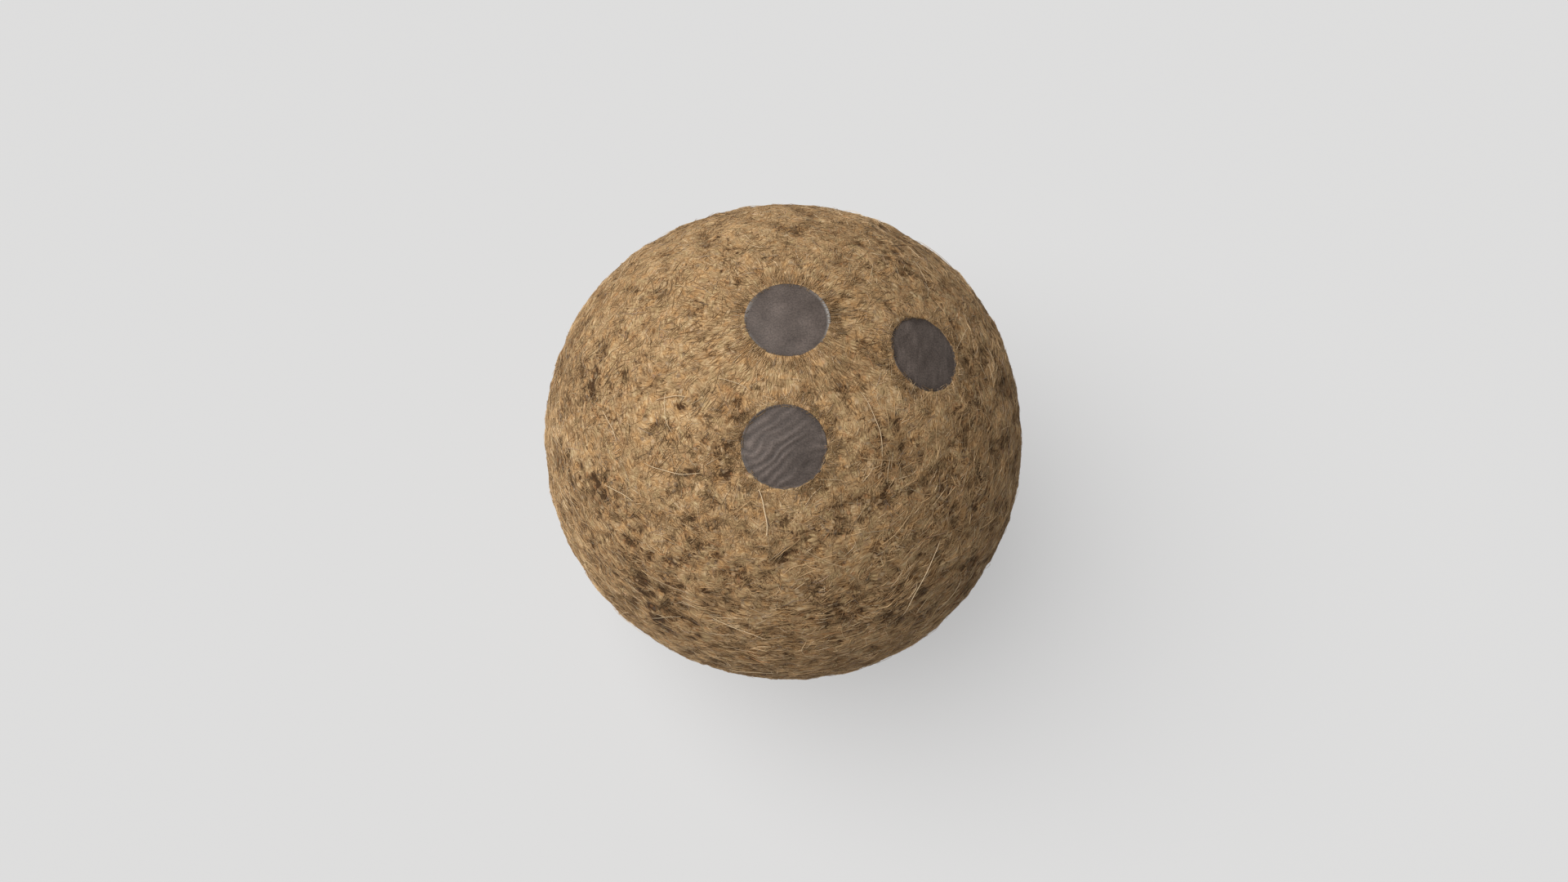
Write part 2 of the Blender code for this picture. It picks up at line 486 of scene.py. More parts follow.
def felt_material():
    """Crushed husk: layer on layer of fine fibres, lying as the coir does, quite dull."""
    material, shader, add, join = material_of("husk_felt")
    felt = FeltNodes(add, join)
    fibre = felt.split(spoke_fibres(felt, wound_fibres(felt, matted_fibres(felt))))
    grain = felt.noise(felt.middle, Scale=6000, Detail=2, Roughness=0.6)
    body = felt.worked("MULTIPLY_ADD", grain.outputs["Fac"], 0.18, fibre["X"])
    shade = add("ShaderNodeAttribute", attribute_name="shade").outputs["Fac"]
    gap = felt_gaps(felt, shade)
    level = felt.worked("SUBTRACT", body, shade)
    # Painted shade: the crevices and partings darken the felt
    level = felt.worked("MULTIPLY_ADD", gap, -0.20, level)
    level = felt.worked("SUBTRACT", level, 0.09)
    browns = ramp_node(add, FELT_STOPS)
    join(level, browns.inputs["Fac"])
    colour = felt_crumbs(felt, felt_hue(felt, browns.outputs["Color"], fibre))
    join(colour, shader.inputs["Base Color"])
    join(felt.ranged(level, 0.3, 0.7, 0.95, 0.78), shader.inputs["Roughness"])
    shader.inputs["Specular IOR Level"].default_value = 0.2
    bump = add("ShaderNodeBump", Strength=0.75, Distance=0.0003)
    join(felt.worked("MULTIPLY_ADD", gap, -0.35, body), bump.inputs["Height"])
    join(bump.outputs["Normal"], shader.inputs["Normal"])
    return material


def mesh_of(name, bm):
    """The mesh of a finished bmesh."""
    mesh = bpy.data.meshes.new(name)
    bm.to_mesh(mesh)
    bm.free()
    return mesh


def lay_on(mesh, name, values):
    """Lay a value down at each point of a mesh, for its material to read."""
    layer = mesh.attributes.new(name, "FLOAT", "POINT")
    layer.data.foreach_set("value", values.astype(np.float32))


def add_piece(name, mesh, material):
    """Put a finished mesh on the nut as a piece of its own."""
    mesh.materials.append(material)
    mesh.shade_smooth()
    piece = bpy.data.objects.new(name, mesh)
    bpy.context.scene.collection.objects.link(piece)
    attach(piece, "root")
    return piece


bm = bmesh.new()
bmesh.ops.create_cube(bm, size=2)
bmesh.ops.subdivide_edges(bm, edges=bm.edges[:], cuts=FELT_CUTS, use_grid_fill=True)
facing = np.array([vert.co for vert in bm.verts])
facing = np.tan(np.clip(facing, -1, 1) * math.pi / 4)
facing /= np.linalg.norm(facing, axis=1, keepdims=True)
# The felt's darkness, with the painted shade in its hollows and pits, laid down for its material
shade = coir_shade(facing)
reach = skin_reach(facing) - GROUND_DEPTH + felt_rise(facing)
for _, eye_width, eye_lean, eye_turn in EYES:
    apart = np.arccos(np.clip(facing @ facing_of(eye_lean, eye_turn), -1, 1)) * NUT_RADIUS
    inside = np.clip((eye_width / 2 + EYE_BED_MARGIN - apart) / EYE_BED_WALL, 0, 1)
    reach -= EYE_BED_DEPTH * inside
for vert, place in zip(bm.verts, pressed(NUT_MIDDLE + facing * reach[:, None])):
    vert.co = place
mesh = mesh_of("husk_felt", bm)
lay_on(mesh, "shade", shade)
husk_felt = felt_material()
felt = add_piece("husk_felt", mesh, husk_felt)
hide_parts("coconut")

# --- The eyes ----------------------------------------------------------------------------
# Three round patches where the shell is bare at the stem end, grown as part of the nut. A
# thin grey-brown skin lies a little below the coir, almost flat, smooth on the top eye,
# crossed by slanting folds on the front one and by fine streaks on the side one.

# How deep the floor lies and how gently it bulges, how wide its edge is, how far the edge
# turns up, and how deep the hidden root goes
EYE_DEPTH = 0.00030
EYE_FLOOR_CURVE = 0.0565
EYE_EDGE = 0.0004
EYE_EDGE_RISE = 0.00004
EYE_ROOT_DEPTH = 0.0028
EYE_RINGS = 34
EYE_STEPS = 112
MERGE_GAP = 0.000001

# Widths of the strips along a floor's rim where it turns pale, lies flat and darkens with painted
# shade
EYE_PALE_STRIP = 0.00035
EYE_FLAT_STRIP = 0.0012
EYE_SHADED_STRIP = 0.0016
# How dark the painted shade along a floor's rim is
EYE_EDGE_PAINTED_SHADE = 0.22
EYE_DARK = (0.056, 0.042, 0.035)
EYE_LIGHT = (0.165, 0.130, 0.112)
# The pale shell at an eye's edge, partly a painted highlight
EYE_PALE_SHELL_AND_HIGHLIGHT = (0.330, 0.315, 0.295)


def eye_axes(facing):
    """Across, up and out at a place on the nut: across runs round it, up leans to the top."""
    across = np.cross((0, 0, 1), facing)
    if np.linalg.norm(across) < 1e-6:
        across = np.array((1.0, 0, 0))
    across /= np.linalg.norm(across)
    return across, np.cross(facing, across), facing


FOLD_SLANT = math.radians(36)
FOLD_GAP = 0.0017
STREAK_GAP = 0.0011


def smooth_skin(x, y):
    """Hardly any pattern: faint slow swells."""
    return 0.35 + 0.09 * ripples(41, 0.0026)(np.stack((x, y, 0 * x), -1))


def folded_skin(x, y):
    """Slanting folds, a little under 2 mm apart, sharpest towards the lower left."""
    places = np.stack((x, y, 0 * x), -1)
    bent = ripples(42, 0.0060)(places)
    jog = ripples(45, 0.0022)(places)
    across = -math.sin(FOLD_SLANT) * x + math.cos(FOLD_SLANT) * y
    worn = ripples(44, 0.0028)(places)
    fine = ripples(47, 0.0011)(np.stack((0.35 * x, across, 0 * x), -1))
    wave = across + 0.00050 * bent + 0.00020 * jog
    fold = 0.5 + 0.5 * np.cos(2 * math.pi * wave / FOLD_GAP + 0.9 * worn)
    strength = 0.30 + 0.18 * np.tanh(-(x + 0.4 * y) / 0.004) + 0.17 * worn
    return 0.19 + np.maximum(strength, 0.03) * fold**1.6 + 0.05 * bent + 0.06 * fine


def streaked_skin(x, y):
    """Fine streaks that run round the nut."""
    places = np.stack((x, y, 0 * x), -1)
    bent = ripples(43, 0.0040)(places)
    worn = ripples(46, 0.0024)(places)
    fine = ripples(48, 0.0009)(np.stack((0.3 * x, y, 0 * x), -1))
    streak = 0.5 + 0.5 * np.cos(2 * math.pi * (y + 0.0003 * bent) / STREAK_GAP + worn)
    return 0.25 + np.clip(0.06 + 0.07 * worn, 0, 1) * streak + 0.04 * bent + 0.07 * fine


# Each eye's skin, how high its pattern stands, and the pale edges at its sides, partly shell and
# partly a painted highlight where the edge faces the light: the middle of each, in degrees from
# across towards up, its spread and strength
EYE_SKINS = {
    "top_eye": (smooth_skin, 0.00006, ((-137, 34, 0.85), (15, 16, 0.5), (72, 18, 0.45))),
    "front_eye": (folded_skin, 0.00016, ((215, 60, 0.15),)),
    "side_eye": (streaked_skin, 0.00010, ((300, 50, 0.1),)),
}


def eye_outline(width):
    """Half outline of an eye: its floor, a turned-up edge, and a root hidden in the nut."""
    reach = width / 2
    steps = np.linspace(0, reach, EYE_RINGS)
    outline = [(out, -EYE_DEPTH - out**2 / (2 * EYE_FLOOR_CURVE)) for out in steps]
    foot = outline[-1][1]
    outline.append((reach + 0.25 * EYE_EDGE, foot + EYE_EDGE_RISE))
    outline.append((reach + 0.70 * EYE_EDGE, foot + EYE_EDGE_RISE))
    outline.append((reach + EYE_EDGE, foot))
    outline.append((reach + EYE_EDGE, -EYE_ROOT_DEPTH))
    outline.append((0, -EYE_ROOT_DEPTH))
    return outline


def turned(outline, steps):
    """A bmesh of an outline of (out, up) places, spun once round +Z, with its seam merged."""
    bm = bmesh.new()
    corners = [bm.verts.new((out, 0, up)) for out, up in outline]
    runs = [bm.edges.new(pair) for pair in zip(corners, corners[1:])]
    bmesh.ops.spin(
        bm,
        geom=corners + runs,
        cent=(0, 0, 0),
        axis=(0, 0, 1),
        angle=2 * math.pi,
        steps=steps,
        use_merge=True,
    )
    bmesh.ops.remove_doubles(bm, verts=bm.verts, dist=MERGE_GAP)
    return bm


def eye_material():
    """Thin dry skin: taupe with paler folds, faint mottling and pinprick specks."""
    material, shader, add, join = material_of("eye_skin")
    place = add("ShaderNodeTexCoord")
    mottle = add("ShaderNodeTexNoise", Scale=700, Detail=5, Roughness=0.6)
    join(place.outputs["Object"], mottle.inputs["Vector"])
    fold = add("ShaderNodeAttribute", attribute_name="fold")
    pale_shell_and_highlight = add("ShaderNodeAttribute", attribute_name="pale_shell_and_highlight")
    height = add("ShaderNodeMath", operation="MULTIPLY_ADD")
    height.inputs[1].default_value = 0.35
    join(mottle.outputs["Fac"], height.inputs[0])
    join(fold.outputs["Fac"], height.inputs[2])
    skin = ramp_node(add, ((0.15, EYE_DARK), (1.0, EYE_LIGHT)))
    join(height.outputs["Value"], skin.inputs["Fac"])
    grain = add("ShaderNodeTexNoise", Scale=3400, Detail=3, Roughness=0.65)
    join(place.outputs["Object"], grain.inputs["Vector"])
    specks = add("ShaderNodeMapRange", From_Min=0.30, From_Max=0.66, To_Min=0.62, To_Max=1.32)
    join(grain.outputs["Fac"], specks.inputs["Value"])
    speckled = add("ShaderNodeMix", data_type="RGBA", blend_type="MULTIPLY")
    speckled.inputs["Factor"].default_value = 1
    join(skin.outputs["Color"], speckled.inputs["A"])
    join(specks.outputs["Result"], speckled.inputs["B"])
    # Pale shell at the edge, partly a painted highlight where the edge faces the light
    edged = add("ShaderNodeMix", data_type="RGBA")
    join(pale_shell_and_highlight.outputs["Fac"], edged.inputs["Factor"])
    join(speckled.outputs["Result"], edged.inputs["A"])
    edged.inputs["B"].default_value = (*EYE_PALE_SHELL_AND_HIGHLIGHT, 1)
    join(edged.outputs["Result"], shader.inputs["Base Color"])
    dull = add("ShaderNodeMapRange", From_Min=0.3, From_Max=0.7, To_Min=0.58, To_Max=0.74)
    join(mottle.outputs["Fac"], dull.inputs["Value"])
    join(dull.outputs["Result"], shader.inputs["Roughness"])
    shader.inputs["Specular IOR Level"].default_value = 0.35
    bump = add("ShaderNodeBump", Strength=0.35, Distance=0.0001)
    join(grain.outputs["Fac"], bump.inputs["Height"])
    join(bump.outputs["Normal"], shader.inputs["Normal"])
    return material


eye_skin = eye_material()
for eye_name, eye_width, eye_lean, eye_turn in EYES:
    bm = turned(eye_outline(eye_width), EYE_STEPS)
    flat = np.array([vert.co for vert in bm.verts])
    bearing = np.degrees(np.arctan2(flat[:, 1], flat[:, 0]))
    out = np.hypot(flat[:, 0], flat[:, 1])
    past_edge = out - eye_width / 2
    on_floor = np.clip(-past_edge / EYE_FLAT_STRIP, 0, 1) * (flat[:, 2] > -EYE_ROOT_DEPTH / 2)
    skin, fold_rise, pale_shell_and_highlights = EYE_SKINS[eye_name]
    fold = skin(flat[:, 0], flat[:, 1])
    flat[:, 2] += fold_rise * (fold - 0.3) * on_floor
    facing = facing_of(eye_lean, eye_turn)
    axes = np.array(eye_axes(facing))
    middle = NUT_MIDDLE + facing * skin_reach(facing)
    for vert, place in zip(bm.verts, middle + flat @ axes):
        vert.co = place
    bmesh.ops.recalc_face_normals(bm, faces=bm.faces)
    mesh = mesh_of(eye_name, bm)
    # Pale edges at given sides, partly shell and partly a painted highlight where the edge faces
    # the light
    pale_shell_and_highlight = 0 * out
    for lip_middle, lip_spread, lip_strength in pale_shell_and_highlights:
        side = (bearing - lip_middle + 180) % 360 - 180
        pale_shell_and_highlight += lip_strength * np.exp(-((side / lip_spread) ** 2))
    pale_shell_and_highlight *= np.clip(1 + past_edge / EYE_PALE_STRIP, 0, 1)
    # Painted shade: the floor darkens all round towards its rim, as in a recess
    darkening = np.clip(1 + past_edge / EYE_SHADED_STRIP, 0, 1) ** 2
    lay_on(mesh, "fold", fold - EYE_EDGE_PAINTED_SHADE * darkening * (1 - pale_shell_and_highlight))
    lay_on(mesh, "pale_shell_and_highlight", pale_shell_and_highlight)
    add_piece(eye_name, mesh, eye_skin)

# --- The rims of the eyes ------------------------------------------------------------------
# The felt does not stop at an eye with a clean edge: it rolls over into the recess as a low
# ragged rim, a little matted, of the same crushed husk.

RIM_STEPS = 220
# The inner strip that is ragged and pressed, how far its edge frays, how rough its top is,
# how much of the felt's rise the strip loses, and how much painted shade darkens the rim
# where it dips into the recess
RIM_STRIP = 0.0008
RIM_FRAY = 0.00007
RIM_ROUGH = 0.00005
RIM_PRESS = 0.8
RIM_PAINTED_SHADE = 0.10
# Rows of a rim: outwards from the eye's floor, and up from the nut's skin, in millimetres
RIM_ROWS = (
    (0.02, -0.80),
    (0.05, -0.45),
    (0.10, -0.32),
    (0.22, -0.24),
    (0.44, -0.20),
    (0.72, -0.18),
    (1.00, -0.20),
    (1.35, -0.27),
    (1.75, -0.42),
    (2.30, -0.80),
)
rim_frays = ripples(51, 0.0009)


def swung_out(out, radial, away):
    """Unit directions that lie a way off from an eye's middle, measured over the nut."""
    lean = (away / NUT_RADIUS)[:, None]
    return out * np.cos(lean) + radial * np.sin(lean)


for eye_name, eye_width, eye_lean, eye_turn in EYES:
    across, up, out = eye_axes(facing_of(eye_lean, eye_turn))
    rows = [(eye_width / 2 + offset / 1000, height / 1000) for offset, height in RIM_ROWS]
    bm = turned(rows, RIM_STEPS)
    flat = np.array([vert.co for vert in bm.verts])
    away = np.hypot(flat[:, 0], flat[:, 1])
    radial = (flat[:, 0, None] * across + flat[:, 1, None] * up) / away[:, None]
    ragged = rim_frays(swung_out(out, radial, away) * NUT_RADIUS)
    inner = np.clip((eye_width / 2 + RIM_STRIP - away) / RIM_STRIP, 0, 1)
    facing = swung_out(out, radial, away + RIM_FRAY * inner * ragged)
    facing /= np.linalg.norm(facing, axis=1, keepdims=True)
    height = flat[:, 2] + RIM_ROUGH * ragged + (1 - RIM_PRESS * inner) * felt_rise(facing)
    reach = skin_reach(facing) + height
    for vert, place in zip(bm.verts, NUT_MIDDLE + facing * reach[:, None]):
        vert.co = place
    bmesh.ops.recalc_face_normals(bm, faces=bm.faces)
    if sum(face.normal.dot(Vector(out)) for face in bm.faces) < 0:
        bmesh.ops.reverse_faces(bm, faces=bm.faces)
    mesh = mesh_of(f"{eye_name}_rim", bm)
    # Painted shade: the rim is darker where it dips down into the recess
    deep = np.clip((-0.00025 - flat[:, 2]) / 0.0006, 0, 1)
    lay_on(mesh, "shade", coir_shade(facing) + RIM_PAINTED_SHADE * deep)
    add_piece(f"{eye_name}_rim", mesh, husk_felt)

# --- The coir ----------------------------------------------------------------------------
# Dry strands of the husk, left when it was torn off: short stiff fibres in matted tufts, each
# bent, thicker in the middle and tucked in at its ends. They run out from the top eye, lie
# every way on the shoulder, and turn to lie round the nut on its flanks.

STRAND_SIDES = 3
# Places along a strand where it may bend, from its root to its tip
SHORT_LEVELS = np.array((0, 0.2, 0.8, 1))
LONG_LEVELS = np.array((0, 0.1, 0.5, 0.9, 1))
# The colour chart's UV map, and how far a strand is spread out on it from side to side
UV_NAME = "OFBake"
CHART_SPREAD = 0.0018
# How thin and thick a strand's half width is, and how deep its root and tip are tucked in
STRAND_THIN = 0.000035
STRAND_THICK = 0.000080
ROOT_TUCK = 0.00012
TIP_TUCK = 0.00010
# How much whole tufts and single strands bend sideways, as one over a radius
TUFT_BEND = 70
STRAND_BEND = 60
# How near a strand may come to an eye's floor
EYE_CLEARANCE = 0.00015
# The colour chart: its hues run from deep brown to straw, then rusty and greyish
COIR_STOPS = (
    (0.00, (0.140, 0.078, 0.034)),
    (0.22, (0.265, 0.158, 0.070)),
    (0.48, (0.400, 0.251, 0.121)),
    (0.70, (0.480, 0.333, 0.178)),
    (0.84, (0.580, 0.450, 0.290)),
    (0.92, (0.450, 0.215, 0.085)),
    (1.00, (0.320, 0.268, 0.210)),
)
# Where most strands lie on it, how far strands and whole tufts stray from there, and how much
# painted light brightens a strand that stands proud, for each metre
USUAL_HUE = 0.52
HUE_STRAY = 0.025
TUFT_HUE_STRAY = 0.07
USUAL_LIGHT = 0.56
LIGHT_STRAY = 0.09
TUFT_LIGHT_STRAY = 0.08
PROUD_PAINTED_LIGHT = 350
# Strands of an odd colour: a range of their random number, and the range of their hue
ODD_STRANDS = (
    (0.0, 0.08, 0.76, 0.86),
    (0.1, 0.11, 0.90, 0.94),
    (0.2, 0.235, 0.97, 0.99),
)


def straight_strand(levels, sides):
    """A strand of unit length along +Z, pointed at both ends, as corners and faces."""
    bm = bmesh.new()
    bmesh.ops.create_cone(bm, cap_ends=True, segments=sides, radius1=1, radius2=1, depth=1)
    bmesh.ops.translate(bm, vec=(0, 0, 0.5), verts=bm.verts)
    long_edges = [e for e in bm.edges if abs(e.verts[0].co.z - e.verts[1].co.z) > 0.5]
    if len(levels) > 4:
        bmesh.ops.subdivide_edges(bm, edges=long_edges, cuts=len(levels) - 4)
    for vert in bm.verts:
        vert.co.z = round(vert.co.z * (len(levels) - 3)) + 1
    caps = [face for face in bm.faces if abs(face.normal.z) > 0.5]
    tips = bmesh.ops.poke(bm, faces=caps)["verts"]
    for tip in tips:
        tip.co = (0, 0, 0 if tip.co.z < 1.5 else len(levels) - 1)
    bm.verts.index_update()
    corners = np.array([vert.co for vert in bm.verts])
    faces = [[vert.index for vert in face.verts] for face in bm.faces]
    bm.free()
    return corners, faces


def strand_mesh(name, paths, ups, widths, tones, levels):
    """One mesh of many strands, each bent along its path. Tones place it on the colour chart."""
    corners, faces = straight_strand(levels, STRAND_SIDES)
    level = corners[:, 2].astype(int)
    ahead = np.gradient(paths, axis=1)
    ahead /= np.linalg.norm(ahead, axis=2, keepdims=True) + 1e-12
    beside = np.cross(ups, ahead)
    beside /= np.linalg.norm(beside, axis=2, keepdims=True) + 1e-12
    above = np.cross(ahead, beside)
    sideways = beside[:, level] * (corners[:, 0, None] * widths[:, level, None])
    upwards = above[:, level] * (corners[:, 1, None] * widths[:, level, None] * 0.8)
    points = pressed(paths[:, level] + sideways + upwards)
    count, each = len(paths), len(corners)
    mesh = bpy.data.meshes.new(name)
    whole = []
    for sort in sorted({len(face) for face in faces}):
        some = np.array([face for face in faces if len(face) == sort])
        whole += (some[None] + np.arange(count)[:, None, None] * each).reshape(-1, sort).tolist()
    mesh.from_pydata(points.reshape(-1, 3).tolist(), [], whole)
    across = corners[:, 0] - corners[:, 1]
    across = np.where((level > 0) & (level < len(levels) - 1), across, 0)
    chart = np.stack(
        (
            tones[:, 0, None] + CHART_SPREAD * across[None],
            tones[:, 1, None] + tones[:, 2, None] * (levels[level] - 0.5)[None],
        ),
        -1,
    )
    chart = np.clip(chart, 0.004, 0.996).reshape(-1, 2)
    corner_of = np.zeros(len(mesh.loops), np.int32)
    mesh.loops.foreach_get("vertex_index", corner_of)
    layer = mesh.uv_layers.new(name=UV_NAME)
    layer.uv.foreach_set("vector", chart[corner_of].astype(np.float32).ravel())
    return mesh


def flow_axes(facing):
    """Tangents at unit directions: round the nut, and away from its top."""
    around = np.cross(np.array((0, 0, 1.0)), facing)
    around /= np.linalg.norm(around, axis=-1, keepdims=True) + 1e-9
    return around, np.cross(around, facing)


def lay_paths(facing, heading, lengths, bends, waves, layers, arches, lifts, levels):
    """Paths of strands that lie on the nut, and which way is up along them."""
    along = (levels - 0.5)[None] * lengths[:, None]
    aside = np.cross(facing, heading)
    across = 0.5 * bends[:, None] * along**2
    across += waves[:, None] * np.sin(2 * math.pi * levels)[None]
    places = facing[:, None] * NUT_RADIUS + heading[:, None] * along[..., None]
    places += aside[:, None] * across[..., None]
    ups = places / np.linalg.norm(places, axis=2, keepdims=True)
    curve = 1 - (2 * levels - 1) ** 2
    rise = layers[:, None] + arches[:, None] * curve[None] + lifts[:, None] * levels[None] ** 2
    rise -= ROOT_TUCK * (levels[None] < 0.06) + TIP_TUCK * (levels[None] > 0.94)
    base = np.stack([felt_rise(ups[:, k]) for k in range(len(levels))], 1)
    reach = skin_reach(ups) - GROUND_DEPTH + base + rise
    return NUT_MIDDLE + ups * reach[..., None], ups


def clear_of_eyes(paths, margin):
    """Which paths keep off the eyes' floors by a margin, in metres."""
    facing = paths - NUT_MIDDLE
    facing /= np.linalg.norm(facing, axis=2, keepdims=True)
    clear = np.ones(len(paths), bool)
    for _, width, lean, turn in EYES:
        apart = np.arccos(np.clip(facing @ facing_of(lean, turn), -1, 1)) * NUT_RADIUS
        clear &= (apart > width / 2 + margin).all(1)
    return clear


def coir_material():
    """Every strand's colour is a place on a chart: hue across it, brightness up it."""
    material, shader, add, join = material_of("coir")
    chart = add("ShaderNodeUVMap", uv_map=UV_NAME)
    split = add("ShaderNodeSeparateXYZ")
    join(chart.outputs["UV"], split.inputs["Vector"])
    hues = ramp_node(add, COIR_STOPS)
    join(split.outputs["X"], hues.inputs["Fac"])
    bright = add("ShaderNodeMapRange", To_Min=0.36, To_Max=1.82)
    join(split.outputs["Y"], bright.inputs["Value"])
    shaded = add("ShaderNodeMix", data_type="RGBA", blend_type="MULTIPLY")
    shaded.inputs["Factor"].default_value = 1
    join(hues.outputs["Color"], shaded.inputs["A"])
    join(bright.outputs["Result"], shaded.inputs["B"])
    join(shaded.outputs["Result"], shader.inputs["Base Color"])
    dry = add("ShaderNodeMapRange", To_Min=0.88, To_Max=0.62)
    join(split.outputs["Y"], dry.inputs["Value"])
    join(dry.outputs["Result"], shader.inputs["Roughness"])
    shader.inputs["Specular IOR Level"].default_value = 0.3
    return material


def coir_tones(draw, facing, paths, hue_shift, light_shift):
    """Where each strand lies on the colour chart, and how it fades along its length."""
    count = len(facing)
    # Strands are darker over the felt's darker places, the painted shade in hollows and pits
    # included
    dark = -2 * coir_shade(facing)
    middle = paths[:, paths.shape[1] // 2]
    proud = np.linalg.norm(middle - NUT_MIDDLE, axis=1) - skin_reach(facing)
    stray = LIGHT_STRAY * (1 - 0.3 * np.clip(facing[:, 2], 0, 1) ** 4)
    light = USUAL_LIGHT + light_shift + draw.normal(0, 1, count) * stray + dark
    # Painted light: a strand that stands higher off the skin is lighter, one lying low darker
    light += PROUD_PAINTED_LIGHT * proud
    hue = USUAL_HUE + hue_shift + draw.normal(0, HUE_STRAY, count)
    hue += 0.6 * (light - USUAL_LIGHT)
    odd = draw.random(count)
    for odd_from, odd_to, hue_from, hue_to in ODD_STRANDS:
        picked = (odd >= odd_from) & (odd < odd_to)
        hue = np.where(picked, draw.uniform(hue_from, hue_to, count), hue)
    fade = draw.uniform(0.03, 0.14, count) * np.where(draw.random(count) < 0.5, -1, 1)
    return np.stack((np.clip(hue, 0.02, 0.98), np.clip(light, 0.22, 0.92), fade), 1)


def tuft_mesh(name, draw, tufts, each, spread, median, longest, levels):
    """Strands in small tufts all over the nut, lying as the coir flows there."""
    tuft_facing = draw.normal(size=(tufts, 3))
    tuft_facing /= np.linalg.norm(tuft_facing, axis=1, keepdims=True)
    around, away = flow_axes(tuft_facing)
    flank = np.sqrt(1 - tuft_facing[:, 2] ** 2)
    spin = draw.uniform(0, 2 * math.pi, tufts)
    round_pull = 0.22 + 2.3 * flank**2
    heading = around * (np.cos(spin) * round_pull)[:, None] + away * np.sin(spin)[:, None]
    pick = np.repeat(np.arange(tufts), each)
    count = len(pick)
    facing = tuft_facing[pick] + draw.normal(0, spread / NUT_RADIUS, (count, 3))
    facing /= np.linalg.norm(facing, axis=1, keepdims=True)
    heading = heading[pick] / np.linalg.norm(heading[pick], axis=1, keepdims=True)
    heading += draw.normal(0, 0.24, (count, 3))
    heading -= facing * (heading * facing).sum(1, keepdims=True)
    heading /= np.linalg.norm(heading, axis=1, keepdims=True)
    lengths = draw.lognormal(math.log(median), 0.36, count)
    paths, ups = lay_paths(
        facing,
        heading,
        np.clip(lengths, 0.4 * median, longest),
        draw.normal(0, TUFT_BEND, tufts)[pick] + draw.normal(0, STRAND_BEND, count),
        draw.normal(0, 0.03 * median, count),
        draw.uniform(-0.00008, 0.00010, tufts)[pick] + draw.normal(0, 0.00003, count),
        draw.uniform(0.00002, 0.04 * median, count),
        np.where(draw.random(count) < 0.04, draw.uniform(0.0001, 0.0005, count), 0),
        levels,
    )
    tones = coir_tones(
        draw,
        facing,
        paths,
        draw.normal(0, TUFT_HUE_STRAY, tufts)[pick],
        draw.normal(0, TUFT_LIGHT_STRAY, tufts)[pick],
    )
    keep = clear_of_eyes(paths, EYE_CLEARANCE)
    keep &= draw.random(count) > 0.9 * np.clip(pit_share(facing) * 1.6 - 0.25, 0, 1)
    swelling = np.sin(math.pi * levels) ** 0.4
    widths = draw.uniform(STRAND_THIN, STRAND_THICK, count)[:, None] * swelling
    return strand_mesh(name, paths[keep], ups[keep], widths[keep], tones[keep], levels)


# A piece of each sort: its tufts, the strands in a tuft and how far they are spread, their
# middling and greatest length, and where they may bend
SHORT_COIR = (2700, 5, 0.00060, 0.0020, 0.0042, SHORT_LEVELS)
LONG_COIR = (3000, 3, 0.00110, 0.0036, 0.0080, LONG_LEVELS)
coir = coir_material()
draw = np.random.default_rng(7)
for sort, pieces, measures in (("short_coir", 4, SHORT_COIR), ("long_coir", 2, LONG_COIR)):
    for number in range(pieces):
        name = f"{sort}_{number + 1}"
        add_piece(name, tuft_mesh(name, draw, *measures), coir)

# --- The fringe round the eyes -------------------------------------------------------------
# Where the coir stops at an eye its strands are torn short and stand in a dense ring with
# their tips over the edge. They run straight out from the top eye.

FRINGE_STRANDS = 900
FRINGE_THIN = 0.00003
FRINGE_THICK = 0.00006
# How far the torn ends splay from straight out, in radians, and how far in they may start
TOP_SPLAY = 0.25
SIDE_SPLAY = 0.75
FRINGE_OVERLAP = 0.00035
fringe = {"paths": [], "ups": [], "widths": [], "tones": []}
for eye_name, eye_width, eye_lean, eye_turn in EYES:
    across, up, out = eye_axes(facing_of(eye_lean, eye_turn))
    spin = draw.uniform(0, 2 * math.pi, FRINGE_STRANDS)
    radial = across * np.cos(spin)[:, None] + up * np.sin(spin)[:, None]
    lengths = draw.uniform(0.0010, 0.0030, FRINGE_STRANDS)
    wide = TOP_SPLAY if eye_name == "top_eye" else SIDE_SPLAY
    splay = draw.normal(0, wide, FRINGE_STRANDS)
    gap = draw.uniform(-FRINGE_OVERLAP, 0.0016, FRINGE_STRANDS)
    away = eye_width / 2 + gap + 0.5 * lengths * np.abs(np.cos(splay))
    facing = swung_out(out, radial, away)
    heading = radial * np.cos(splay)[:, None] + np.cross(out, radial) * np.sin(splay)[:, None]
    heading -= facing * (heading * facing).sum(1, keepdims=True)
    heading /= np.linalg.norm(heading, axis=1, keepdims=True)
    paths, ups = lay_paths(
        facing,
        heading,
        lengths,
        draw.normal(0, 90, FRINGE_STRANDS),
        draw.normal(0, 0.00006, FRINGE_STRANDS),
        draw.uniform(0.00002, 0.00022, FRINGE_STRANDS),
        draw.uniform(0.00002, 0.00012, FRINGE_STRANDS),
        np.zeros(FRINGE_STRANDS),
        LONG_LEVELS,
    )
    swelling = np.sin(math.pi * LONG_LEVELS) ** 0.4
    widths = draw.uniform(FRINGE_THIN, FRINGE_THICK, FRINGE_STRANDS)[:, None] * swelling
    fringe["paths"].append(paths)
    fringe["ups"].append(ups)
    fringe["widths"].append(widths)
    shift = draw.normal(0, 0.08, FRINGE_STRANDS)
    # Painted shade: strands that start close to or over an eye's edge are darker
    dim = -0.16 * np.clip(1 - gap / 0.0005, 0, 1)
    fringe["tones"].append(coir_tones(draw, facing, paths, shift, 0.3 * shift + dim))
mesh = strand_mesh("eye_fringe", *(np.concatenate(fringe[key]) for key in fringe), LONG_LEVELS)
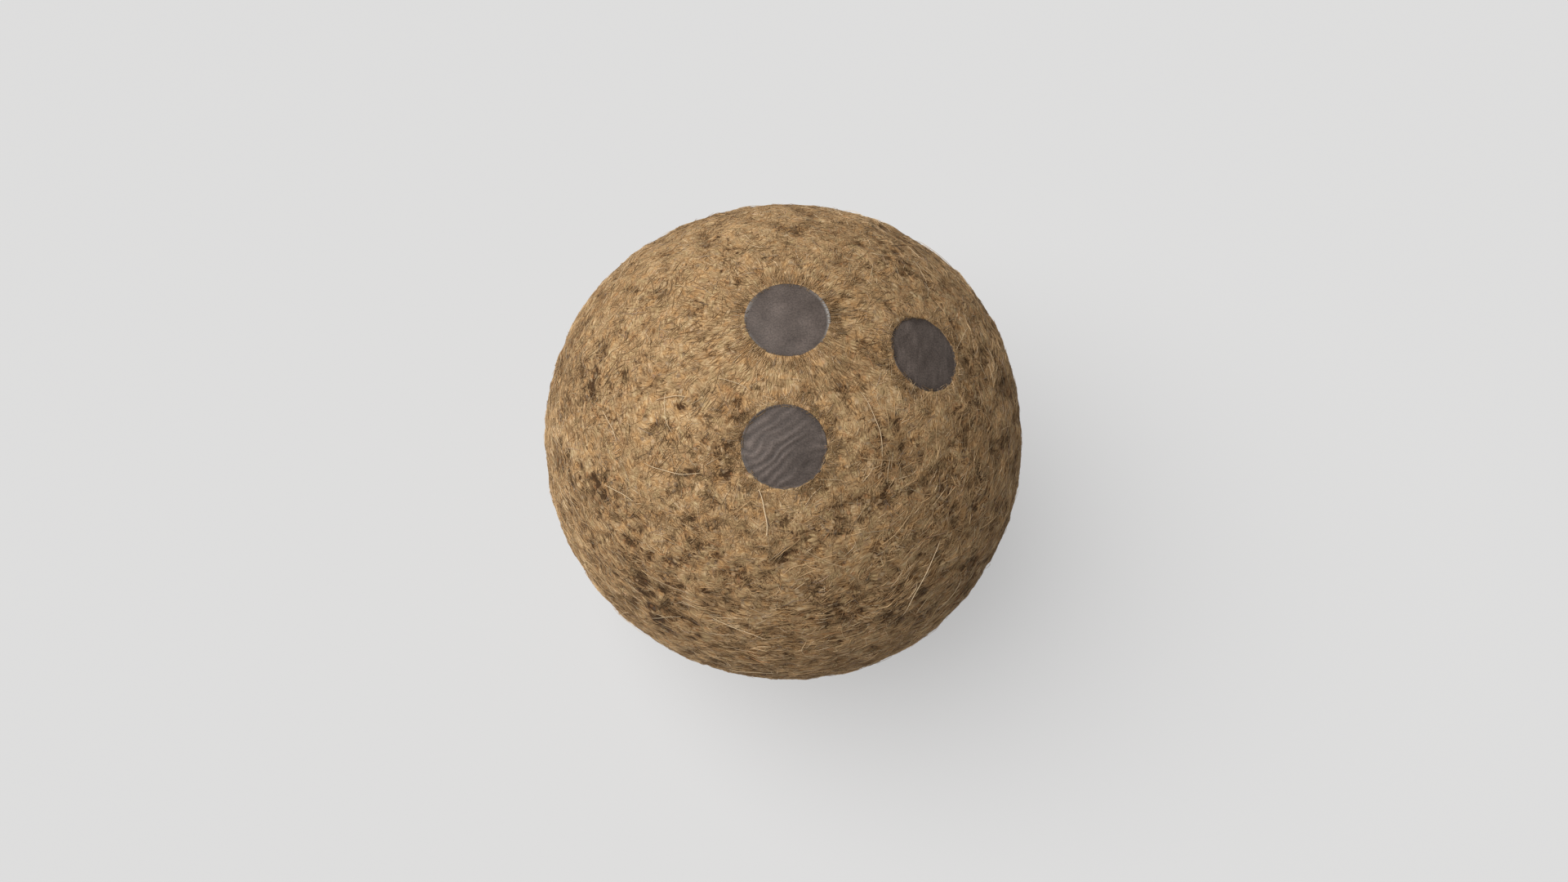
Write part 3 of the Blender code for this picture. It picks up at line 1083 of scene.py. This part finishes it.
add_piece("eye_fringe", mesh, coir)

# --- Loose hairs ---------------------------------------------------------------------------
# A few long fine hairs have sprung free of the mat. Most are pale straw, and they lie over
# it in slack curves, held only at their ends.

HAIR_LEVELS = np.linspace(0, 1, 15)
# The plain ones: lean and turn of both ends, sideways bow and width, in millimetres
PLAIN_HAIRS = (
    (33.4, -99.0, 44.6, -95.2, 0.9, 0.32),
    (57.5, -47.7, 72.6, -63.1, -1.0, 0.17),
    (43.4, -163.0, 43.0, -150.0, 0.9, 0.17),
    (30.6, -152.5, 24.0, -143.0, 0.5, 0.16),
    (27.0, -153.5, 31.5, -136.5, -0.8, 0.16),
    (52.5, -146.0, 48.5, -134.5, 0.5, 0.15),
    (40.5, -140.0, 34.0, -119.0, -0.9, 0.15),
    (20.5, -42.0, 33.0, -52.0, 0.8, 0.14),
    (66.0, -107.0, 70.5, -93.0, 0.8, 0.14),
    (17.5, -140.0, 16.0, -112.0, 0.6, 0.13),
)
PLAIN_HUE = 0.84
PLAIN_LIGHT = 0.76
HAIR_COUNT = 130
HAIR_THIN = 0.00004
HAIR_THICK = 0.00008
# How high a hair lies at its ends and in its middle, and how deep its ends are tucked in
HAIR_REST = 0.00006
HAIR_RISE = 0.00030
HAIR_TUCK = 0.0003
draw = np.random.default_rng(19)
start_lean = np.degrees(np.arccos(draw.uniform(-0.97, 0.94, HAIR_COUNT)))
start_turn = draw.uniform(-180, 180, HAIR_COUNT)
starts = [facing_of(lean, turn) for lean, turn in zip(start_lean, start_turn)]
ends = []
for start in starts:
    around, away = flow_axes(start)
    spin = draw.uniform(0, 2 * math.pi)
    reach = draw.uniform(0.005, 0.014) / NUT_RADIUS
    end = start + reach * (math.cos(spin) * around + 0.7 * math.sin(spin) * away)
    ends.append(end / np.linalg.norm(end))
bows = list(draw.normal(0, 0.0009, HAIR_COUNT))
thick = list(draw.uniform(HAIR_THIN, HAIR_THICK, HAIR_COUNT))
for lean, turn, end_lean, end_turn, bow, width in PLAIN_HAIRS:
    starts.append(facing_of(lean, turn))
    ends.append(facing_of(end_lean, end_turn))
    bows.append(bow / 1000)
    thick.append(width / 2000)
starts = np.array(starts)[:, None]
ends = np.array(ends)[:, None]
sag = np.sin(math.pi * HAIR_LEVELS)[None, :, None]
beside = np.cross(starts, ends)
beside /= np.linalg.norm(beside, axis=2, keepdims=True)
wave = 0.15 * np.sin(3 * math.pi * HAIR_LEVELS + 1)[None, :, None] * sag
ways = starts + (ends - starts) * HAIR_LEVELS[None, :, None]
ways += beside * (sag + wave) * np.array(bows)[:, None, None] / NUT_RADIUS
ways /= np.linalg.norm(ways, axis=2, keepdims=True)
rise = HAIR_REST + HAIR_RISE * sag[..., 0] * draw.uniform(0.3, 1, (len(ways), 1))
rise -= HAIR_TUCK * (1 - sag[..., 0]) ** 4
paths = NUT_MIDDLE + ways * (skin_reach(ways) + rise)[..., None]
widths = np.array(thick)[:, None] * np.clip(np.sin(math.pi * HAIR_LEVELS), 0.0, 1)[None] ** 0.3
hues = draw.uniform(0.66, 0.86, len(ways))
hues[HAIR_COUNT:] = PLAIN_HUE
lights = draw.uniform(0.45, 0.75, len(ways))
lights[HAIR_COUNT:] = PLAIN_LIGHT
tones = np.stack((hues, lights, draw.uniform(0.05, 0.12, len(ways))), 1)
keep = clear_of_eyes(paths, 0.0)
keep[HAIR_COUNT:] = True
mesh = strand_mesh(
    "loose_hairs", paths[keep], ways[keep], widths[keep], tones[keep], HAIR_LEVELS
)
add_piece("loose_hairs", mesh, coir)

# --- The studio --------------------------------------------------------------------------
# A plain pale floor of matt paper that glows a little, one broad soft light from the upper
# left, and a faint even fill.

FLOOR_SIZE = 12.0
FLOOR_GREY = (0.24, 0.24, 0.24, 1)
FLOOR_GLOW = 0.454
LIGHT_FROM = Vector((-0.487, 0.039, 0.873))
LIGHT_STRENGTH = 3.95
LIGHT_COLOUR = (1.0, 0.99, 0.98)
LIGHT_SPREAD = math.radians(60)
FILL_STRENGTH = 0.05
FILL_COLOUR = (0.97, 0.985, 1.0, 1)
bm = bmesh.new()
bmesh.ops.create_grid(bm, x_segments=2, y_segments=2, size=FLOOR_SIZE / 2)
mesh = mesh_of("floor", bm)
material, shader, add, join = material_of("floor_paper")
shader.inputs["Base Color"].default_value = FLOOR_GREY
shader.inputs["Roughness"].default_value = 0.9
shader.inputs["Specular IOR Level"].default_value = 0.0
shader.inputs["Emission Color"].default_value = (1, 1, 1, 1)
shader.inputs["Emission Strength"].default_value = FLOOR_GLOW
mesh.materials.append(material)
floor = bpy.data.objects.new("floor", mesh)
bpy.context.scene.collection.objects.link(floor)

light_data = bpy.data.lights.new("soft_light", "SUN")
light_data.energy = LIGHT_STRENGTH
light_data.angle = LIGHT_SPREAD
light_data.color = LIGHT_COLOUR
light = bpy.data.objects.new("soft_light", light_data)
light.rotation_mode = "QUATERNION"
light.rotation_quaternion = LIGHT_FROM.to_track_quat("Z", "Y")
bpy.context.scene.collection.objects.link(light)
world = bpy.data.worlds.new("fill")
world.use_nodes = True
fill = world.node_tree.nodes["Background"]
fill.inputs["Color"].default_value = FILL_COLOUR
fill.inputs["Strength"].default_value = FILL_STRENGTH
bpy.context.scene.world = world
bpy.context.scene.view_settings.view_transform = "Standard"

# --- The camera --------------------------------------------------------------------------
# It looks steeply down on the nut from the front, towards its middle, from a quarter of a
# metre away.

CAMERA_RISE = math.radians(65.9)
CAMERA_AWAY = 0.25018
CAMERA_LENS = 24.44
camera_data = bpy.data.cameras.new("camera")
camera_data.lens = CAMERA_LENS
camera_data.sensor_width = 36
camera_data.clip_start = 0.01
camera = bpy.data.objects.new("camera", camera_data)
back = Vector((0, -math.cos(CAMERA_RISE), math.sin(CAMERA_RISE)))
camera.location = Vector(NUT_MIDDLE) + back * CAMERA_AWAY
camera.rotation_mode = "QUATERNION"
camera.rotation_quaternion = (-back).to_track_quat("-Z", "Y")
bpy.context.scene.collection.objects.link(camera)
bpy.context.scene.camera = camera
